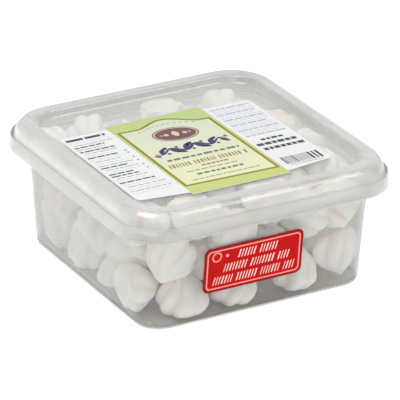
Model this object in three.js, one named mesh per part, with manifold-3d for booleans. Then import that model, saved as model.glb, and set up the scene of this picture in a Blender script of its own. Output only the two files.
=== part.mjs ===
// A shut, clear, square plastic tub of piped meringue cookies.
//
// The tub is a thin tapered shell with rounded corners, a raised centre in its
// base, and a rim that turns outwards into a ledge and up into a band. The lid
// is a second thin shell: its skirt stands on the ledge inside the band, its
// edge rises to a raised border, and its middle is a recessed flat panel. A
// paper label lies on the panel and a rounded label sits on the front wall.
// The cookies are solid kisses with seven twisted lobes, lying as they fell.
// The hidden middle of the heap is one solid of kisses that run into each other.
//
// Millimetres. +Z up, the front wall faces -Y. The origin is on the surface
// the tub stands on, at the centre of its footprint.

import * as THREE from 'three';
import * as BufferGeometryUtils from 'three/addons/utils/BufferGeometryUtils.js';
import Module from 'manifold-3d';

const wasm = await Module();
wasm.setup();

// ---------------------------------------------------------------- dimensions
const CORNER_STEPS = 5; // chords in each rounded corner of the shells

// tub
const WALL = 0.95; // wall thickness
const BASE_HALF = 79.4; // half-width of the wall at its lowest straight point
const BASE_Z = 3.8; // height of that point
const TOP_HALF = 84.3; // half-width of the wall under the ledge
const TOP_Z = 64.4; // height of that point
const BASE_CORNER = 16.7; // corner radius at BASE_Z
const TOP_CORNER = 22.6; // corner radius at TOP_Z
const FLOOR_TOP = 1.4; // inside face of the base
const LEDGE_Z = 65.2; // underside of the ledge
const RIM_HALF = 95.0; // half-width of the band at its widest
const RIM_CORNER = 27.2; // corner radius of the band
const RIM_TOP = 75.9; // top of the band

// lid
const LID_SKIRT_Z = 66.65; // foot of the skirt, just clear of the ledge
const LID_HALF = 93.0; // half-width of the skirt
const LID_TOP = 84.5; // top of the raised border
const PANEL_HALF = 76.9; // half-width of the flat panel
const PANEL_TOP = 79.3; // upper face of the panel

// labels
const PAPER = 0.3; // thickness of both labels, and their gap to the plastic
const TOP_LABEL = {
  left: -74.2, right: 64.4, // outer ends of the side wings
  wingFront: -56.2, wingRoot: -60.8, wingBack: 45.9,
  midLeft: -39.8, midRight: 29.7, midFront: -63.9, midBack: 49.8,
};
const SIDE_LABEL = { x: -6.9, z: 35.0, width: 70.2, height: 31.0, corner: 4.2, cornerSteps: 4 };

// cookies
const LOBES = 7; // ridges left by the star tip
const RIDGE = 1.06; // ridge radius over mean radius
const CREASE = 0.87; // crease radius over mean radius
const BASE_RADIUS = [15.0, 2.2]; // least, and spread
const HEIGHT_RATIO = [1.6, 0.36]; // height over base radius: least, and spread
const TWIST = [0.5, 0.7]; // turn from base to tip, radians: least, and spread
const LEAN = [0.1, 0.16]; // sideways shift of the tip over base radius
const PROFILE = [[0.0, 0.82], [0.2, 1.0], [0.56, 0.8], [0.85, 0.38]]; // height share, radius share

// the middle of the heap: kisses in rows and two layers, each a little uneven
const HEAP = { rows: 3, spacing: 27.4, jitter: 2.4, layers: [2.0, 22.5], radius: 15.4, height: 27.0, tilt: 0.5 };
const HEAP_SIDES = 7; // sides of each of these kisses
const HEAP_PROFILE = [[0.0, 0.84], [0.28, 1.0], [0.7, 0.62]]; // height share, radius share

// How the cookies lie: the middle of each base disc (x, y, z), the way the tip
// points (azimuth and elevation) and the turn about its own axis, in degrees.
const LIE = [
  [-79.02, -47.55, 17.11, -0.2, 4.4, -15.4], [-44.91, -62.05, 2.64, -84.5, 86.9, -29.3],
  [-50.21, -61.26, 46.91, -136.6, -33.4, -103.5], [-10.24, -62.56, 3.1, -124.9, 84.8, 86.8],
  [34.74, -62.79, 3.41, -113.1, 83.2, -0.8], [61, -60.85, 31.35, -65.3, -69, 8],
  [-16.29, -81.69, 50.94, 90, 5.2, 92.3], [5.61, -57.71, 34.9, -38.9, 1.6, -152.8],
  [46.96, -65.65, 52.48, -166.6, -3.6, -4.7], [72.28, -68.31, 46.55, 152, 31.3, -33.3],
  [-64.67, -18.29, 4.83, 67.5, 75.6, 23.5], [-61.12, 20.63, 5.9, 173.7, 72.6, -42.2],
  [-60.34, 45.81, 14.6, 124.1, 20.1, -4.4], [-70.22, -38.02, 31.13, 39.9, 44.6, -8.7],
  [-61.69, 6.05, 46.57, -123.6, -50.9, 51], [-81.28, 42.04, 45.33, 0.3, 4.6, 104.4],
  [-36.99, 81.23, 62.02, -92.1, 6.5, 108.3], [-70.51, 72.19, 61.06, -67.4, 25.4, 66.4],
  [59.07, 76.76, 60.32, -102, 12, -176], [-34.36, 59.52, 3.7, 74.5, 84.2, -31.4],
  [55.66, 38.34, 19.48, -53, -7.2, -124.2], [57.51, 13.55, 20.68, -98.6, -20.5, -179.5],
  [45.42, 49.71, 18.77, -174.9, 21.9, 93], [3.79, 59.51, 18.75, -159.7, -4, 67.9],
  [50.28, 60.14, 24.04, 25.2, -28.3, 137.5], [62.89, -30.36, 2.8, -49.2, 85.8, 62.3],
  [61.27, 52.25, 53.04, -62.8, -28.9, 64.6], [61.28, -6.23, 31.5, -86, 39.4, 32.4],
  [18.74, 78.45, 19.46, -87.3, 3.6, 5.9], [80.76, -12.27, 62.39, -175.5, 11.6, -158.1],
  [40.82, 68.08, 50.62, -162.8, -18.8, -101.7], [1.88, -24.93, 58.06, 25.4, 22.7, -105.1],
  [-40.15, 58.88, 52.68, -110.3, -44.7, 174.6], [-46.17, -19.51, 58.68, 38.3, -11.5, -35.6],
  [36.21, 5.08, 74.56, 126, -76.3, -141.5], [54.34, -51.13, 29.29, 133.5, 29.3, 173.4],
  [-8.74, 62.37, 43.35, 134.8, 65.9, -147.7], [-12.63, 47.65, 58.79, -80.3, 18.6, 2],
  [22.9, 37.14, 57.93, 40.4, 31.6, 109.6], [-46.13, 19.97, 62.69, 6.9, -9.2, 18.5],
  [63.9, -50.98, 58.51, 71.3, 34.6, -111.3], [9.88, -67.24, 77.71, -156.2, -89.5, 14.6],
  [-41.87, -68.47, 77.61, -141.8, -88.5, 144.1], [-36.67, -59.12, 29.43, 18.4, 20.3, 85.5],
  [-65.38, -59.67, 54.6, 124.3, 54.2, -82.3], [-55.09, 14.38, 58.9, 160.8, 12.3, -108.2],
  [-64.78, -13.12, 57.08, -114, 44.8, -143.6], [13.09, 68.12, 77.9, -23, -89.6, -32],
  [39.61, -31.38, 61.33, 76.6, -18.1, 76], [67.34, 18.65, 77.77, -16.6, -89.5, -110],
  [-9.87, -51.08, 58.01, 98.8, 35.3, -75.5], [-6.08, 10.96, 60.48, -124.2, 16.4, 84.3],
  [36.1, -53.71, 59.73, 104.6, 30.4, 11.1], [20.88, 12.27, 63.77, 151.1, -27.7, 61.7],
  [-39.59, -33.57, 62.16, -106.5, -13.1, -0.7],
];

// ------------------------------------------------------------------ helpers
// One ring of a rounded square: half-width h, corner radius r, height z.
function ring(h, r, z) {
  const points = [];
  for (let q = 0; q < 4; q++) {
    const cx = (q === 0 || q === 3 ? 1 : -1) * (h - r);
    const cy = (q < 2 ? 1 : -1) * (h - r);
    for (let k = 0; k <= CORNER_STEPS; k++) {
      const a = (Math.PI / 2) * (q + k / CORNER_STEPS);
      points.push([cx + r * Math.cos(a), cy + r * Math.sin(a), z]);
    }
  }
  return points;
}

function indexed(vertices, faces) {
  const g = new THREE.BufferGeometry();
  g.setAttribute('position', new THREE.Float32BufferAttribute(vertices.flat(), 3));
  g.setIndex(faces.flat());
  g.computeVertexNormals();
  return g;
}

// A skin over a row of rings, closed with a fan at each end. Rings run
// anticlockwise seen from above; the row starts under the solid.
function skin(start, rings, end) {
  const n = rings[0].length;
  const vertices = [start, ...rings.flat(), end];
  const faces = [];
  const at = (j, k) => 1 + j * n + (k % n);
  for (let k = 0; k < n; k++) {
    faces.push([0, at(0, k + 1), at(0, k)]);
    faces.push([vertices.length - 1, at(rings.length - 1, k), at(rings.length - 1, k + 1)]);
  }
  for (let j = 0; j + 1 < rings.length; j++) {
    for (let k = 0; k < n; k++) {
      faces.push([at(j, k), at(j, k + 1), at(j + 1, k + 1)]);
      faces.push([at(j, k), at(j + 1, k + 1), at(j + 1, k)]);
    }
  }
  return indexed(vertices, faces);
}

// A flat outline made into a thin sheet.
function sheet(outline, thickness) {
  const g = new THREE.ExtrudeGeometry(new THREE.Shape(outline), { depth: thickness, bevelEnabled: false, steps: 1 });
  g.deleteAttribute('normal');
  g.deleteAttribute('uv');
  const merged = BufferGeometryUtils.mergeVertices(g, 1e-4);
  merged.computeVertexNormals();
  return merged;
}

// Repeatable unevenness between 0 and 1 for cookie i, quality k.
function uneven(i, k) {
  const s = Math.sin(i * 12.9898 + k * 78.233) * 43758.5453;
  return s - Math.floor(s);
}

// ---------------------------------------------------------------------- tub
function tubGeometry() {
  const outside = [
    ring(70.0, 10.5, 0.5), // edge of the raised centre
    ring(71.5, 11.5, 0.0), // foot
    ring(BASE_HALF - 2.5, 14.9, 0.0),
    ring(BASE_HALF - 0.95, 16.0, 0.7),
    ring(BASE_HALF - 0.28, 16.5, 2.0),
    ring(BASE_HALF, BASE_CORNER, BASE_Z),
    ring(TOP_HALF, TOP_CORNER, TOP_Z),
    ring(TOP_HALF + 0.6, 23.1, LEDGE_Z),
    ring(RIM_HALF - 2.0, 26.2, LEDGE_Z),
    ring(RIM_HALF - 0.6, 26.9, LEDGE_Z + 0.5),
    ring(RIM_HALF, RIM_CORNER, LEDGE_Z + 1.8),
    ring(RIM_HALF - 0.5, 27.6, RIM_TOP - 0.3),
    ring(RIM_HALF - 0.9, 27.4, RIM_TOP),
  ];
  const inside = [
    ring(RIM_HALF - 1.35, 27.2, RIM_TOP - 0.3),
    ring(RIM_HALF - 1.1, 26.9, LEDGE_Z + 2.2),
    ring(RIM_HALF - 1.8, 26.4, LEDGE_Z + 1.1),
    ring(TOP_HALF + 0.4, 23.0, LEDGE_Z + 1.1),
    ring(TOP_HALF - WALL, TOP_CORNER - WALL * 0.6, TOP_Z + 0.1),
    ring(BASE_HALF - WALL, BASE_CORNER - WALL * 0.8, BASE_Z + 0.2),
    ring(BASE_HALF - 1.6, 15.4, FLOOR_TOP + 1.0),
    ring(BASE_HALF - 3.2, 14.4, FLOOR_TOP),
  ];
  return skin([0, 0, 0.5], [...outside, ...inside], [0, 0, FLOOR_TOP]);
}

// ---------------------------------------------------------------------- lid
function lidGeometry() {
  const under = PANEL_TOP - 0.9;
  const below = [
    ring(PANEL_HALF + 0.1, 18.8, under),
    ring(PANEL_HALF + 1.8, 19.9, under + 0.2),
    ring(PANEL_HALF + 2.7, 20.6, under + 1.4),
    ring(PANEL_HALF + 3.9, 21.5, LID_TOP - 1.3),
    ring(PANEL_HALF + 4.6, 22.0, LID_TOP - 0.9),
    ring(LID_HALF - 5.7, 25.6, LID_TOP - 0.9),
    ring(LID_HALF - 4.2, 26.6, LID_TOP - 1.5),
    ring(LID_HALF - 2.9, 27.4, LID_TOP - 2.8),
    ring(LID_HALF - 1.9, 27.7, LID_TOP - 4.8),
    ring(LID_HALF - 0.9, 27.6, RIM_TOP + 0.5),
    ring(LID_HALF - 0.9, 26.4, LID_SKIRT_Z),
  ];
  const above = [
    ring(LID_HALF, 27.0, LID_SKIRT_Z),
    ring(LID_HALF, 28.2, RIM_TOP + 0.2),
    ring(LID_HALF - 1.0, 28.4, LID_TOP - 4.5),
    ring(LID_HALF - 2.1, 28.0, LID_TOP - 2.1),
    ring(LID_HALF - 3.7, 27.2, LID_TOP - 0.6),
    ring(LID_HALF - 5.4, 26.2, LID_TOP),
    ring(PANEL_HALF + 4.5, 21.8, LID_TOP),
    ring(PANEL_HALF + 3.6, 21.1, LID_TOP - 0.3),
    ring(PANEL_HALF + 3.1, 20.7, LID_TOP - 1.0),
    ring(PANEL_HALF + 1.8, 19.8, PANEL_TOP + 1.0),
    ring(PANEL_HALF + 1.1, 19.3, PANEL_TOP + 0.2),
    ring(PANEL_HALF, 18.6, PANEL_TOP),
  ];
  return skin([0, 0, under], [...below, ...above], [0, 0, PANEL_TOP]);
}

// ------------------------------------------------------------------- labels
function topLabelGeometry() {
  const t = TOP_LABEL;
  return sheet([
    [t.left, t.wingFront], [t.midLeft, t.wingRoot], [t.midLeft, t.midFront],
    [t.midRight, t.midFront], [t.midRight, t.wingRoot], [t.right, t.wingFront],
    [t.right, t.wingBack], [t.midRight, t.wingBack], [t.midRight, t.midBack],
    [t.midLeft, t.midBack], [t.midLeft, t.wingBack], [t.left, t.wingBack],
  ].map(([x, y]) => new THREE.Vector2(x, y)), PAPER);
}

function sideLabelGeometry() {
  const { width, height, corner, cornerSteps } = SIDE_LABEL;
  const outline = [];
  for (let q = 0; q < 4; q++) {
    const cx = (q === 0 || q === 3 ? 1 : -1) * (width / 2 - corner);
    const cy = (q < 2 ? 1 : -1) * (height / 2 - corner);
    for (let k = 0; k <= cornerSteps; k++) {
      const a = (Math.PI / 2) * (q + k / cornerSteps);
      outline.push(new THREE.Vector2(cx + corner * Math.cos(a), cy + corner * Math.sin(a)));
    }
  }
  return sheet(outline, PAPER);
}

// ------------------------------------------------------------------ cookies
// A piped kiss standing on its base disc: ridges and creases turn from the
// base to a small leaning tip.
function cookieGeometry(i) {
  const radius = BASE_RADIUS[0] + BASE_RADIUS[1] * uneven(i, 1);
  const height = radius * (HEIGHT_RATIO[0] + HEIGHT_RATIO[1] * uneven(i, 2));
  const twist = TWIST[0] + TWIST[1] * uneven(i, 3);
  const phase = 6.283 * uneven(i, 4);
  const lean = radius * (LEAN[0] + LEAN[1] * uneven(i, 5));
  const leanWay = 6.283 * uneven(i, 6);
  const rings = PROFILE.map(([share, r]) => {
    const points = [];
    for (let k = 0; k < 2 * LOBES; k++) {
      const a = (Math.PI * k) / LOBES + phase + twist * share;
      const d = radius * r * (k % 2 === 0 ? RIDGE : CREASE);
      points.push([
        d * Math.cos(a) + lean * share * share * Math.cos(leanWay),
        d * Math.sin(a) + lean * share * share * Math.sin(leanWay),
        height * share,
      ]);
    }
    return points;
  });
  const tip = [lean * Math.cos(leanWay), lean * Math.sin(leanWay), height];
  return skin([0, 0, 0], rings, tip);
}

function asSolid(geometry) {
  return new wasm.Manifold(new wasm.Mesh({
    numProp: 3,
    vertProperties: Float32Array.from(geometry.getAttribute('position').array),
    triVerts: Uint32Array.from(geometry.getIndex().array),
  }));
}

// The kisses in the middle of the heap, joined where they run into each other.
function heapGeometry() {
  const { rows, spacing, jitter, layers, radius, height, tilt } = HEAP;
  let heap = null;
  layers.forEach((floor, layer) => {
    for (let a = 0; a < rows; a++) {
      for (let b = 0; b < rows; b++) {
        const i = 200 + layer * rows * rows + a * rows + b;
        const r = radius * (0.97 + 0.06 * uneven(i, 1));
        const h = height * (0.94 + 0.12 * uneven(i, 2));
        const phase = 6.283 * uneven(i, 3);
        const rings = HEAP_PROFILE.map(([share, k]) => Array.from({ length: HEAP_SIDES }, (_, n) => {
          const w = (2 * Math.PI * n) / HEAP_SIDES + phase + 0.6 * share;
          return [r * k * Math.cos(w), r * k * Math.sin(w), h * share];
        }));
        const kiss = skin([0, 0, 0], rings, [0, 0, h]);
        kiss.rotateX((uneven(i, 4) - 0.5) * tilt);
        kiss.rotateY((uneven(i, 5) - 0.5) * tilt);
        kiss.computeBoundingBox();
        kiss.translate(
          spacing * (a - (rows - 1) / 2) + (uneven(i, 6) - 0.5) * jitter,
          spacing * (b - (rows - 1) / 2) + (uneven(i, 7) - 0.5) * jitter,
          floor - kiss.boundingBox.min.z,
        );
        const solid = asSolid(kiss);
        heap = heap ? heap.add(solid) : solid;
      }
    }
  });
  const joined = heap.getMesh();
  const g = new THREE.BufferGeometry();
  g.setAttribute('position', new THREE.Float32BufferAttribute(joined.vertProperties, 3));
  g.setIndex(Array.from(joined.triVerts));
  g.computeVertexNormals();
  return g;
}

function lay(mesh, [x, y, z, azimuth, elevation, turn]) {
  const deg = Math.PI / 180;
  const q = new THREE.Quaternion().setFromAxisAngle(new THREE.Vector3(0, 0, 1), azimuth * deg);
  q.multiply(new THREE.Quaternion().setFromAxisAngle(new THREE.Vector3(0, 1, 0), (90 - elevation) * deg));
  q.multiply(new THREE.Quaternion().setFromAxisAngle(new THREE.Vector3(0, 0, 1), turn * deg));
  mesh.position.set(x, y, z);
  mesh.quaternion.copy(q);
}

// ----------------------------------------------------------------- assembly
const group = new THREE.Group();

function add(name, geometry, color, roughness, extra = {}) {
  const mesh = new THREE.Mesh(geometry, new THREE.MeshStandardMaterial({ color, roughness, metalness: 0, ...extra }));
  mesh.name = name;
  group.add(mesh);
  return mesh;
}

const clear = { transparent: true, opacity: 0.35 };
add('tub', tubGeometry(), 0xd4d5d2, 0.2, clear);
add('lid', lidGeometry(), 0xdadbd8, 0.2, clear);

const topLabel = add('top_label', topLabelGeometry(), 0xe9ebdc, 0.6);
topLabel.position.set(0, 0, PANEL_TOP + PAPER);

// The front label leans back with the tapered wall.
const taper = Math.atan2(TOP_HALF - BASE_HALF, TOP_Z - BASE_Z);
const sideLabel = add('side_label', sideLabelGeometry(), 0xcc0a0c, 0.45);
sideLabel.rotation.set(Math.PI / 2 + taper, 0, 0);
const wallHalf = BASE_HALF + (SIDE_LABEL.z - BASE_Z) * Math.tan(taper);
sideLabel.position.set(SIDE_LABEL.x, -(wallHalf + PAPER / Math.cos(taper)), SIDE_LABEL.z);

LIE.forEach((row, i) => {
  const cookie = add(`meringue_${String(i + 1).padStart(2, '0')}`, cookieGeometry(i), 0xefece6, 0.85);
  lay(cookie, row);
});

add('heap_middle', heapGeometry(), 0xefece6, 0.85);

export default group;
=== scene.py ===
"""A shut, clear, square tub of piped meringue cookies: its looks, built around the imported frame.

Everything is in the frame's own place and size. Millimetres are used below and turned into metres
when a mesh is made.
"""
import math

import bmesh
import bpy
import numpy as np
from mathutils import Matrix, Vector


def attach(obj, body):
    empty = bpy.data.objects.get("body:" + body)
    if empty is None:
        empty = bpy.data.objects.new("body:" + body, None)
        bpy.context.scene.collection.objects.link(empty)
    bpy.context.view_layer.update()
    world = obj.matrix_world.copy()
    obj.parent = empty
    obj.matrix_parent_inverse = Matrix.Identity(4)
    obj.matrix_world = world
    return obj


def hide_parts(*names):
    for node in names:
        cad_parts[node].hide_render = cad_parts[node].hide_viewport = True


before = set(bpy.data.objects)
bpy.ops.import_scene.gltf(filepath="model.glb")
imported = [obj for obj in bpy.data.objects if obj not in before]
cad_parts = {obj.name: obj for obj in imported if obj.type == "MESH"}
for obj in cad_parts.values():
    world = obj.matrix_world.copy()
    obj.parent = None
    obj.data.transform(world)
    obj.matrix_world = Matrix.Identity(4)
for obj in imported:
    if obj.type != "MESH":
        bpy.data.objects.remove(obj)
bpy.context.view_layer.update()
MM = 0.001


# ------------------------------------------------------------------ helpers
def lin(r, g, b):
    """An 8-bit display colour as the linear colour that a shader takes."""
    out = []
    for v in (r, g, b):
        v /= 255.0
        out.append(v / 12.92 if v <= 0.04045 else ((v + 0.055) / 1.055) ** 2.4)
    return (*out, 1.0)


def mesh_object(name, vertices, faces, materials, indices=None, smooth=True, attributes=None):
    mesh = bpy.data.meshes.new(name)
    vertices = np.asarray(vertices, float) * MM
    mesh.from_pydata(vertices.tolist(), [], [list(map(int, f)) for f in faces])
    for m in materials:
        mesh.materials.append(m)
    if indices is not None:
        mesh.polygons.foreach_set("material_index", np.asarray(indices, np.int32))
    mesh.polygons.foreach_set("use_smooth", np.full(len(mesh.polygons), bool(smooth)))
    for key, values in (attributes or {}).items():
        a = mesh.attributes.new(key, "FLOAT", "POINT")
        a.data.foreach_set("value", np.asarray(values, np.float32))
    mesh.update()
    obj = bpy.data.objects.new(name, mesh)
    bpy.context.scene.collection.objects.link(obj)
    return obj


def piece(obj, slot, *nodes):
    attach(obj, "root")
    if nodes:
        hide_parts(*nodes)
    return obj


class Nodes:
    """A small helper for writing a node tree."""

    def __init__(self, name):
        self.material = bpy.data.materials.new(name)
        self.material.use_nodes = True
        self.tree = self.material.node_tree
        self.tree.nodes.clear()
        self.out = self.tree.nodes.new("ShaderNodeOutputMaterial")

    def add(self, kind, **values):
        node = self.tree.nodes.new(kind)
        for key, value in values.items():
            if hasattr(node, key) and key not in node.inputs:
                setattr(node, key, value)
            else:
                node.inputs[key].default_value = value
        return node

    def link(self, a, b):
        self.tree.links.new(a, b)

    def noise(self, scale, detail=2.0, rough=0.5, coords="Object"):
        c = self.add("ShaderNodeTexCoord")
        n = self.add("ShaderNodeTexNoise", Scale=scale, Detail=detail, Roughness=rough)
        self.link(c.outputs[coords], n.inputs["Vector"])
        return n.outputs["Fac"]

    def math(self, operation, a, b=None, clamp=False):
        n = self.add("ShaderNodeMath", operation=operation, use_clamp=clamp)
        for i, v in enumerate((a, b)):
            if v is None:
                continue
            if isinstance(v, (int, float)):
                n.inputs[i].default_value = v
            else:
                self.link(v, n.inputs[i])
        return n.outputs[0]

    def remap(self, value, lo, hi, to_lo=0.0, to_hi=1.0):
        n = self.add("ShaderNodeMapRange")
        self.link(value, n.inputs["Value"])
        for key, v in (("From Min", lo), ("From Max", hi), ("To Min", to_lo), ("To Max", to_hi)):
            n.inputs[key].default_value = v
        return n.outputs["Result"]

    def mix(self, factor, a, b):
        n = self.add("ShaderNodeMix", data_type="RGBA")
        if isinstance(factor, (int, float)):
            n.inputs[0].default_value = factor
        else:
            self.link(factor, n.inputs[0])
        for i, v in ((6, a), (7, b)):
            if isinstance(v, tuple):
                n.inputs[i].default_value = v
            else:
                self.link(v, n.inputs[i])
        return n.outputs[2]

    def bump(self, height, strength, distance):
        n = self.add("ShaderNodeBump", Strength=strength, Distance=distance)
        self.link(height, n.inputs["Height"])
        return n.outputs["Normal"]

    def done(self, shader):
        self.link(shader, self.out.inputs["Surface"])
        return self.material


# ---------------------------------------------------------------- materials
def clear_plastic(name, haze, tint, clear, rough, zones=(), foot=None):
    """Thin moulded plastic: mostly clear, a little cloudy, with a gloss that follows the angle.

    Seen at a slant the wall is thicker, so it is cloudier there. Each zone (from, to, times, tint)
    changes the cloudiness past a distance from the middle, in metres, as in a formed border, and
    foot = (from, to, times) does so below a height.
    """
    n = Nodes(name)
    wobble = n.bump(n.noise(38.0, 2.0, 0.5), 0.35, 0.0012)
    clear = n.add("ShaderNodeBsdfTransparent", Color=clear)
    cloud = n.add("ShaderNodeBsdfDiffuse", Color=tint, Roughness=0.5)
    film = n.add("ShaderNodeMixShader")
    slant = n.add("ShaderNodeLayerWeight", Blend=0.5)
    n.link(wobble, slant.inputs["Normal"])
    facing = slant.outputs["Facing"]
    cloudy = n.remap(n.noise(21.0, 3.0, 0.55), 0.3, 0.7, haze * 0.8, haze * 1.2)
    split = n.add("ShaderNodeSeparateXYZ")
    n.link(n.add("ShaderNodeTexCoord").outputs["Object"], split.inputs[0])
    if foot:
        cloudy = n.math("MULTIPLY", cloudy, n.remap(split.outputs["Z"], foot[0], foot[1], foot[2], 1.0))
    if zones:
        far = n.math("MAXIMUM", n.math("ABSOLUTE", split.outputs["X"]), n.math("ABSOLUTE", split.outputs["Y"]))
        for start, end, times, zone_tint in zones:
            cloudy = n.math("MULTIPLY", cloudy, n.remap(far, start, end, 1.0, times))
            tint = n.mix(n.remap(far, start, end), tint, zone_tint)
    # the longer way through a slanted wall also takes more of the light
    n.link(n.mix(n.math("MULTIPLY", n.math("POWER", facing, 3.0), 0.8), tint, SLANT_TINT), cloud.inputs["Color"])
    thick = n.math("ADD", n.math("MULTIPLY", n.math("POWER", facing, 3.0), SLANT_HAZE), 1.0)
    n.link(n.math("MULTIPLY", cloudy, thick, clamp=True), film.inputs[0])
    n.link(clear.outputs[0], film.inputs[1])
    n.link(cloud.outputs[0], film.inputs[2])
    gloss = n.add("ShaderNodeBsdfGlossy", Color=(1.0, 1.0, 1.0, 1.0), Roughness=rough)
    n.link(wobble, gloss.inputs["Normal"])
    # the same gloss on both faces of the wall: 4 % head on, rising at a slant
    shine = n.math("ADD", n.math("MULTIPLY", n.math("POWER", facing, 5.0), 0.9), 0.04)
    both = n.add("ShaderNodeMixShader")
    n.link(shine, both.inputs[0])
    n.link(film.outputs[0], both.inputs[1])
    n.link(gloss.outputs[0], both.inputs[2])
    return n.done(both.outputs[0])


def meringue_material():
    """Dry baked meringue: off-white, matt, a little see-through, with a darker peach tint painted into the
    creases as shade.
    """
    n = Nodes("meringue")
    crease = n.add("ShaderNodeAttribute", attribute_name="crease").outputs["Fac"]
    foot = n.add("ShaderNodeAttribute", attribute_name="foot").outputs["Fac"]
    # painted shade: a darker peach tint deepest in the lobes' creases, uneven in patches, with browner spots
    patchy = n.remap(n.noise(70.0, 3.0, 0.6), 0.42, 0.66)
    crease_shade = n.math("MULTIPLY", n.math("MULTIPLY", crease, patchy), 0.9)
    crease_shade_spots = n.math("MULTIPLY", n.remap(crease, 0.0, 0.5), n.remap(n.noise(52.0, 2.0, 0.5), 0.55, 0.70))
    toast = n.math("MULTIPLY", foot, n.remap(n.noise(45.0, 2.0, 0.5), 0.35, 0.65, 0.1, 0.7))
    broad = n.remap(n.noise(24.0, 2.0, 0.5), 0.3, 0.7)
    white = n.mix(broad, (0.925, 0.917, 0.900, 1.0), (0.945, 0.932, 0.908, 1.0))
    peach = n.mix(crease_shade, white, (0.92, 0.80, 0.71, 1.0))
    crease_shaded = n.mix(crease_shade_spots, peach, (0.88, 0.71, 0.60, 1.0))
    color = n.mix(toast, crease_shaded, (0.87, 0.76, 0.64, 1.0))
    shader = n.add("ShaderNodeBsdfPrincipled", Roughness=0.78)
    shader.inputs["Specular IOR Level"].default_value = 0.3
    shader.inputs["Subsurface Weight"].default_value = 0.5
    shader.inputs["Subsurface Radius"].default_value = (1.0, 0.85, 0.7)
    shader.inputs["Subsurface Scale"].default_value = 0.005
    n.link(color, shader.inputs["Base Color"])
    grain = n.math("ADD", n.math("MULTIPLY", n.noise(1900.0, 2.0, 0.6), 0.35), n.noise(420.0, 3.0, 0.6))
    n.link(n.bump(grain, 0.35, 0.0005), shader.inputs["Normal"])
    return n.done(shader.outputs[0])


def ink(name, color, other, rough=0.42, scale=60.0, specular=0.5):
    """Printed paper: a colour that drifts a little, with the paper's faint fibre under the varnish."""
    n = Nodes(name)
    shader = n.add("ShaderNodeBsdfPrincipled", Roughness=rough)
    shader.inputs["Specular IOR Level"].default_value = specular
    n.link(n.mix(n.remap(n.noise(scale, 3.0, 0.6), 0.3, 0.7), color, other), shader.inputs["Base Color"])
    n.link(n.bump(n.noise(900.0, 2.0, 0.6), 0.12, 0.0003), shader.inputs["Normal"])
    return n.done(shader.outputs[0])


def near(color, k):
    """The same colour, a little lighter or darker."""
    return tuple(min(max(c * k, 0.0), 1.0) for c in color[:3]) + (1.0,)


def floor_material():
    """A pale sweep that glows a little, as a lit backdrop does; under and behind the tub its colour is painted
    darker and its glow is off: a painted shadow.
    """
    n = Nodes("studio_floor")
    shade = n.add("ShaderNodeAttribute", attribute_name="shade").outputs["Fac"]
    shader = n.add("ShaderNodeBsdfPrincipled", Roughness=0.9)
    shader.inputs["Specular IOR Level"].default_value = 0.1
    pale = n.mix(n.noise(2.0, 2.0, 0.5), (0.93, 0.93, 0.93, 1.0), (0.95, 0.95, 0.95, 1.0))
    split = n.add("ShaderNodeSeparateXYZ")
    n.link(n.add("ShaderNodeTexCoord").outputs["Object"], split.inputs[0])
    far = n.math("MAXIMUM", n.math("ABSOLUTE", split.outputs["X"]), n.math("ABSOLUTE", split.outputs["Y"]))
    # painted shade, standing for the cookies' shade: darkest under the middle and the left, lighter at the front
    # corner and the right where they let light in
    x, y = split.outputs["X"], split.outputs["Y"]
    corner = n.math("MULTIPLY", n.remap(x, -0.035, -0.060), n.remap(y, -0.040, -0.062))
    left = n.math("MULTIPLY", n.remap(x, -0.050, -0.072), n.remap(y, -0.062, -0.040))
    under = n.mix(n.remap(x, 0.015, 0.060), UNDER_SHADE, UNDER_SHADE_RIGHT)
    under = n.mix(corner, under, UNDER_SHADE_CORNER)
    under = n.mix(left, under, UNDER_SHADE_LEFT)
    # beyond the base's edge the painted shade is lighter, and darker again on the left
    under = n.mix(n.remap(far, 0.072, 0.084), under, n.mix(left, FLOOR_SHADE, FLOOR_SHADE_LEFT))
    # inside the patch the floor takes the painted shade colours and no glow; outside it stays pale and glows
    n.link(n.mix(shade, pale, under), shader.inputs["Base Color"])
    shader.inputs["Emission Color"].default_value = (1.0, 1.0, 1.0, 1.0)
    n.link(n.remap(shade, 0.0, 1.0, FLOOR_GLOW, 0.0), shader.inputs["Emission Strength"])
    return n.done(shader.outputs[0])


FLOOR_GLOW = 0.35
# colours of the floor's painted shadow, under and behind the tub
FLOOR_SHADE = (0.66, 0.66, 0.65, 1.0)
FLOOR_SHADE_LEFT = (0.44, 0.44, 0.43, 1.0)
UNDER_SHADE = (0.39, 0.355, 0.32, 1.0)
UNDER_SHADE_LEFT = (0.25, 0.235, 0.22, 1.0)
UNDER_SHADE_RIGHT = (0.76, 0.74, 0.72, 1.0)
UNDER_SHADE_CORNER = (0.62, 0.60, 0.58, 1.0)
SLANT_HAZE = 11.0
SLANT_TINT = (0.40, 0.40, 0.385, 1.0)

TUB_PLASTIC = clear_plastic(
    "tub_plastic", 0.105, (0.56, 0.56, 0.545, 1.0), (0.970, 0.972, 0.966, 1.0), 0.10,
    zones=[(0.0860, 0.0885, 1.3, (0.74, 0.74, 0.725, 1.0))], foot=(0.003, 0.014, 0.45),
)
# painted shade and light: the lid's cloud is tinted darker on the up-facing land and lighter again on the
# shoulder and skirt, against how the light falls on each
LID_PLASTIC = clear_plastic(
    "lid_plastic", 0.060, (0.86, 0.86, 0.845, 1.0), (0.975, 0.977, 0.971, 1.0), 0.12,
    zones=[(0.077, 0.081, 4.1, (0.68, 0.68, 0.67, 1.0)), (0.0880, 0.0912, 1.15, (0.83, 0.83, 0.815, 1.0))],
)
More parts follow.
